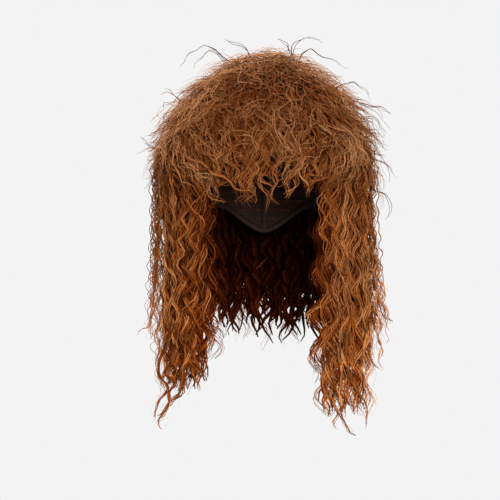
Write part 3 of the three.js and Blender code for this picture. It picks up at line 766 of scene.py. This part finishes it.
def makeSide(tress):
    rng = np.random.default_rng(tress["seed"])
    last = len(tress["rows"]) - 1

    def spaced(count, first, short=0):
        return first + (np.arange(count) + rng.uniform(0, 1, count)) / count * (last - short - first)

    def spacedLayer(place):
        # the outer rows keep inside the lace, and those at the front lie deep
        most = np.interp(place, side["layerAt"], side["layerMost"])
        return rng.uniform(0, 1, len(place)) ** side["layerBias"] * most

    def locksTone(place, layer):
        dark = side["darkStep"] * (rng.random(len(place)) < side["darkShare"])
        # painted light on the outer rows, painted shade on the front rows and inner layers, and random darker
        # locks
        outerLight = tress["paintedLight"] * ramped(place, side["paintedLightFrom"], side["paintedLightOver"])
        front = side["frontShade"] * np.clip(1 - place, 0, 1)
        base = side["tone"] + tress["paintedSideShade"] + outerLight - front + side["outerTone"] * layer
        return base + rng.normal(0, side["toneVary"], len(place)) - dark

    walk = np.cumsum(rng.normal(0, side["nest"], side["walkSteps"]))
    walkAt = np.linspace(-side["walkMargin"], last + side["walkMargin"], len(walk))

    def waves(place):
        phase = np.interp(place, walkAt, walk) + rng.normal(0, side["phaseVary"], len(place))
        pitch = np.interp(place, side["pitchAt"], side["pitch"]) * rng.uniform(*side["pitchVary"], len(place))
        return phase, pitch

    # full locks, then a few that end each tress
    place = spaced(side["locks"], 0)
    layer = spacedLayer(place)
    guides = sideGuides(tress, place, layer, tress["blunt"])
    batches = growStrands(guides, side["lockSpec"], rng, locksTone(place, layer), waves(place))
    place = np.repeat(side["tresses"], side["tips"])
    place = place + rng.normal(0, side["tipsVary"], len(place))
    layer = rng.uniform(*side["tipsLayer"], len(place))
    guides = sideGuides(tress, place, layer, tress["blunt"])
    # painted highlight on the outermost tip locks
    tone = locksTone(place, layer) + side["tipsHighlight"]
    batches += growStrands(guides, side["tipSpec"], rng, tone, waves(place))
    # wide strands underneath, darkened as painted shade and a little paler towards the outer rows, and a lacy
    # edge and frizz outside
    layer = rng.uniform(*side["underLayer"], side["under"])
    place = spaced(side["under"], side["underFirst"], side["underShort"])
    guides = sideGuides(tress, place, layer, tress["blunt"])
    tone = side["underTone"] + side["underPale"] * ramped(place, side["underPaleFrom"], side["underPaleOver"])
    batches += growStrands(guides, side["underSpec"], rng, tone)
    layer = rng.uniform(*side["laceLayer"], side["lace"])
    guides = sideGuides(tress, spaced(side["lace"], side["laceFirst"]), layer)
    batches += growStrands(guides, side["laceSpec"], rng, np.full(len(layer), side["laceTone"]))
    layer = rng.uniform(*side["frizzLayer"], side["frizz"])
    guides = sideGuides(tress, spaced(side["frizz"], side["frizzFirst"]), layer)
    batches += growStrands(guides, side["frizzSpec"], rng, rng.uniform(*side["frizzTone"], len(layer)))
    # shorter layers over the top, and the tails
    turn = rng.uniform(*layers["turn"], layers["sideLocks"])
    # the shorter layers take half of the tress's painted shade
    tone = rng.normal(layers["sideTone"], layers["sideVary"], len(turn)) + tress["paintedSideShade"] / 2
    tone = tone + layers["paleStep"] * ramped(turn, layers["paleFrom"], layers["paleOver"])
    guides = layerGuides(turn, tress["hand"], rng, layers["sideClosest"])
    batches += growStrands(guides, layers["lockSpec"], rng, tone)
    for tail in tress["tails"]:
        batches += growStrands(np.array([tail]), side["tailSpec"], rng, [side["tailTone"]])
    placePiece(strandMesh(tress["piece"], batches), auburnFibre, "hair", tress["node"])


makeSide(side["right"])
makeSide(side["left"])

# back hair: each pair goes from an under row at the nape to an upper row under the crown
back = {
    # painted shade: the inner locks are darker than the outer ones, and the wide strands underneath are dark
    "seed": 41, "locks": 62, "layerBias": 0.7, "tone": 0.22, "outerTone": 0.40, "toneVary": 0.06,
    "under": 110, "underLayer": (-0.1, 0.6), "underTone": 0.14,
    "turn": (1.04, 1.34), "rootDrop": (0.15, 0.106), "rootLift": (0.010, 0.046),
    "bulge": (0.026, 0.056), "tipLift": (0.024, 0.048), "height": (-0.214, -0.2), "uneven": 0.013,
    "lockSpec": strandSpec(perLock=6, segment=0.009, cores=1, coreWidth=0.0022, coreThick=0.0009,
                           width=0.00062, thick=0.00046, shortest=0.75, loose=0.8,
                           spread=[0.010, 0.008, 0.0035], easeIn=0.045, wavePitch=(0.034, 0.052),
                           waveHeight=(0.004, 0.007), drift=(0.003, 0.009), toneSpread=0.06, highlights=0),
    "underSpec": strandSpec(perLock=1, segment=0.0085, width=0.0068, thick=0.0016,
                            taper=[0.9, 1.0, 0.9, 0.12], fullShare=0, shortest=0.84, ragged=0.9, strays=0,
                            spread=[0.003, 0.003, 0.002], easeIn=0.05, wavePitch=(0.04, 0.055),
                            crimpHeight=(0.0003, 0.0008), toneSpread=0.04, highlights=0),
}


def backGuides(angleShare, layer, rng):
    def blend(name):
        return between(back[name], layer)

    angle = math.pi + blend("turn") * angleShare
    root = overHead(angle, blend("rootDrop"), blend("rootLift"))
    full = overHead(angle, np.full(len(layer), quarterArc), blend("bulge"))
    full[:, 2] = -(blend("rootDrop") - quarterArc) - blend("bulge")
    tip = overHead(angle, np.full(len(layer), quarterArc), blend("tipLift"))
    tip[:, 2] = blend("height") + rng.uniform(-1, 1, len(layer)) * back["uneven"]
    return np.stack([root, full, (full + tip) / 2, tip], 1)


def makeBack():
    rng = np.random.default_rng(back["seed"])

    def spaced(count):
        return (np.arange(count) + rng.uniform(0, 1, count)) / count * 2 - 1

    layer = rng.uniform(0, 1, back["locks"]) ** back["layerBias"]
    guides = backGuides(spaced(back["locks"]), layer, rng)
    # painted shade: inner locks darker, outer ones paler
    tone = back["tone"] + back["outerTone"] * layer + rng.normal(0, back["toneVary"], len(layer))
    batches = growStrands(guides, back["lockSpec"], rng, tone)
    layer = rng.uniform(*back["underLayer"], back["under"])
    guides = backGuides(spaced(back["under"]), layer, rng)
    # painted shade: the wide strands underneath are dark
    batches += growStrands(guides, back["underSpec"], rng, np.full(len(layer), back["underTone"]))
    turn = math.pi + spaced(layers["backLocks"]) * (math.pi - layers["turn"][1])
    guides = layerGuides(turn, 1, rng, layers["backClosest"])
    tone = rng.normal(layers["backTone"], layers["backVary"], len(guides))
    batches += growStrands(guides, layers["lockSpec"], rng, tone)
    placePiece(strandMesh("back_hair_fall", batches), auburnFibre, "hair", "back_hair")


makeBack()

# cap: stretch net with sewn rows, tapes and a binding round its rim, angles in degrees
cap = {
    "rim": [(0, 0.088), (45, 0.098), (75, 0.146), (98, 0.130), (130, 0.166), (180, 0.198)],
    "lift": 0.0026, "wall": 0.0016, "around": 96, "down": 26, "weld": 0.0002,
    "rowFirst": 0.03, "rowGap": 0.0115, "rowWidth": 0.004, "rowLift": 0.0009, "rowThick": 0.0007,
    "rowMargin": 0.012,
    "tapes": [0, 62, 118, 180, 242, 298], "tapeWidth": 0.009, "tapeLift": 0.0007, "tapeThick": 0.0005,
    "tapeStart": 0.012, "tapeShort": 0.016,
    "binding": 0.008, "bindingLift": 0.0018, "bindingThick": 0.003, "bindingOver": 0.0006,
    # colour, roughness, cells to a metre, and how dark the cells are
    "cap_mesh": ((0.04, 0.019, 0.011), 0.85, 520, 0.4),
    "sewn_rows": ((0.06, 0.021, 0.007), 0.7, 900, 0.5),
    "cap_tape": ((0.034, 0.017, 0.010), 0.7, 1200, 0.7),
    "cap_binding": ((0.03, 0.0145, 0.0085), 0.7, 1000, 0.7),
    "specular": 0.25, "cellEdge": 0.35, "bump": 0.4, "bumpDepth": 0.0004,
}


def rimDrop(angle):
    turn = np.degrees(np.abs((angle + math.pi) % fullTurn - math.pi))
    drop = cap["rim"][0][1] + 0 * turn
    for (low, above), (high, below) in zip(cap["rim"], cap["rim"][1:]):
        share = ramped(turn, low, high - low)
        drop = drop + (below - above) * share**2 * (3 - 2 * share)
    return drop


def facesInward(face):
    outward = face.calc_center_median()
    outward.z = max(outward.z, 0)
    return face.normal.dot(outward) < 0


def drapedSheet(name, patches, thickness, offset):
    # grids laid over the head and thickened: each patch gives its steps, its place and what to trim
    shape = bmesh.new()
    for across, down, toPlace, outside in patches:
        made = bmesh.ops.create_grid(shape, x_segments=across, y_segments=down, size=0.5)["verts"]
        trimmed = []
        for vert in made:
            u, v = vert.co.x + 0.5, vert.co.y + 0.5
            if outside(u, v):
                trimmed.append(vert)
            vert.co = toPlace(u, v)
        bmesh.ops.delete(shape, geom=trimmed, context="VERTS")
    bmesh.ops.remove_doubles(shape, verts=shape.verts, dist=cap["weld"])
    bmesh.ops.recalc_face_normals(shape, faces=shape.faces)
    bmesh.ops.reverse_faces(shape, faces=[face for face in shape.faces if facesInward(face)])
    for face in shape.faces:
        face.smooth = True
    mesh = bpy.data.meshes.new(name)
    shape.to_mesh(mesh)
    shape.free()
    piece = addObject(name, mesh)
    wall = piece.modifiers.new("wall", "SOLIDIFY")
    wall.thickness = thickness
    wall.offset = offset
    print(name, "faces:", len(mesh.polygons))
    return piece


def capMaterial(name):
    colour, roughness, weave, dark = cap[name]
    material, tree, shader = newMaterial(name)
    shader.inputs["Roughness"].default_value = roughness
    shader.inputs["Specular IOR Level"].default_value = cap["specular"]
    place = tree.nodes.new("ShaderNodeTexCoord")
    cells = tree.nodes.new("ShaderNodeTexVoronoi")
    cells.feature = "DISTANCE_TO_EDGE"
    cells.inputs["Scale"].default_value = weave
    tree.links.new(place.outputs["Object"], cells.inputs["Vector"])
    stops = [(0.0, colour), (cap["cellEdge"], tuple(level * dark for level in colour))]
    tree.links.new(rampNode(tree, cells.outputs["Distance"], stops), shader.inputs["Base Color"])
    bump = tree.nodes.new("ShaderNodeBump")
    bump.inputs["Strength"].default_value = cap["bump"]
    bump.inputs["Distance"].default_value = cap["bumpDepth"]
    bump.invert = True
    tree.links.new(cells.outputs["Distance"], bump.inputs["Height"])
    tree.links.new(bump.outputs[0], shader.inputs["Normal"])
    return material


def makeCap():
    def around(u):
        return u * fullTurn - math.pi

    def never(u, v):
        return False

    def netPlace(u, v):
        return overHead(around(u), v * rimDrop(around(u)), cap["lift"])

    def rowPatch(drop):
        def place(u, v):
            return overHead(around(u), drop + (v - 0.5) * cap["rowWidth"], cap["rowLift"])

        def outside(u, v):
            return rimDrop(around(u)) - cap["rowMargin"] < drop
        return cap["around"], 1, place, outside

    def tapePatch(turn):
        angle = math.radians(turn)

        def place(u, v):
            drop = cap["tapeStart"] + v * (rimDrop(angle) - cap["tapeShort"])
            reach = head["halfWidth"] * math.sin(min(drop / quarterArc, 1) * math.pi / 2)
            return overHead(angle + (u - 0.5) * cap["tapeWidth"] / reach, drop, cap["tapeLift"])
        return 1, cap["down"], place, never

    def bindingPlace(u, v):
        drop = rimDrop(around(u)) + cap["bindingOver"] - v * cap["binding"]
        return overHead(around(u), drop, cap["bindingLift"])

    net = drapedSheet("cap_net", [(cap["around"], cap["down"], netPlace, never)], cap["wall"], -1)
    placePiece(net, capMaterial("cap_mesh"), "cap_net", "cap")
    drops = np.arange(cap["rowFirst"], max(drop for turn, drop in cap["rim"]), cap["rowGap"])
    rows = drapedSheet("cap_rows", [rowPatch(drop) for drop in drops], cap["rowThick"], -1)
    placePiece(rows, capMaterial("sewn_rows"), "cap_net")
    tapes = drapedSheet("cap_tapes", [tapePatch(turn) for turn in cap["tapes"]], cap["tapeThick"], -1)
    placePiece(tapes, capMaterial("cap_tape"), "cap_net")
    binding = drapedSheet("cap_binding", [(cap["around"], 2, bindingPlace, never)], cap["bindingThick"], 0)
    placePiece(binding, capMaterial("cap_binding"), "cap_net")


makeCap()

# stage: a pale floor that sweeps up into a wall all round, lit by itself
sweep = {"floor": -0.37, "reach": 5.0, "radius": 0.8, "top": 6.0, "bendSteps": 12, "steps": 64,
         "weld": 0.0001, "paleness": 0.896}


def makeStage():
    shape = bmesh.new()
    profile = [(0, sweep["floor"])]
    for i in range(sweep["bendSteps"] + 1):
        turn = math.pi / 2 * i / sweep["bendSteps"]
        profile.append((sweep["reach"] + sweep["radius"] * math.sin(turn),
                        sweep["floor"] + sweep["radius"] * (1 - math.cos(turn))))
    profile.append((sweep["reach"] + sweep["radius"], sweep["top"]))
    line = [shape.verts.new((0, y, z)) for y, z in profile]
    edges = [shape.edges.new(pair) for pair in zip(line, line[1:])]
    bmesh.ops.spin(shape, geom=line + edges, cent=(0, 0, 0), axis=(0, 0, 1), angle=fullTurn,
                   steps=sweep["steps"], use_merge=True)
    bmesh.ops.remove_doubles(shape, verts=shape.verts, dist=sweep["weld"])
    bmesh.ops.recalc_face_normals(shape, faces=shape.faces)
    mesh = bpy.data.meshes.new("backdrop")
    shape.to_mesh(mesh)
    shape.free()
    material, tree, shader = newMaterial("pale_paper")
    shader.inputs["Base Color"].default_value = (0.0, 0.0, 0.0, 1)
    shader.inputs["Roughness"].default_value = 1.0
    shader.inputs["Specular IOR Level"].default_value = 0.0
    shader.inputs["Emission Color"].default_value = (1, 1, 1, 1)
    shader.inputs["Emission Strength"].default_value = sweep["paleness"]
    mesh.materials.append(material)
    backdrop = addObject("backdrop", mesh)
    backdrop.visible_diffuse = False
    backdrop.visible_glossy = False
    print("backdrop faces:", len(mesh.polygons))


makeStage()

# soft studio lights, all aimed at one point, and an even light from the room
studio = {
    "aim": (0, 0, -0.05), "room": 0.31,
    "lamps": {
        "key": {"place": (0.5, -2.0, 0.7), "size": 1.3, "power": 90},
        "fill": {"place": (-1.8, -1.1, 0.4), "size": 1.2, "power": 38},
        "top": {"place": (-0.2, 0.5, 1.5), "size": 1.0, "power": 38},
        "rear": {"place": (0.4, 2.0, 0.6), "size": 1.5, "power": 40},
    },
}


def makeLights():
    for name, setup in studio["lamps"].items():
        data = bpy.data.lights.new(name, "AREA")
        data.size = setup["size"]
        data.energy = setup["power"]
        lamp = addObject(name, data)
        lamp.location = setup["place"]
        towards = Vector(studio["aim"]) - lamp.location
        lamp.rotation_euler = towards.to_track_quat("-Z", "Y").to_euler()
    world = bpy.data.worlds.new("studio")
    world.use_nodes = True
    background = world.node_tree.nodes["Background"]
    background.inputs["Color"].default_value = (1, 1, 1, 1)
    background.inputs["Strength"].default_value = studio["room"]
    bpy.context.scene.world = world
    bpy.context.scene.view_settings.view_transform = "Standard"
    print("lights:", sorted(studio["lamps"]))


makeLights()
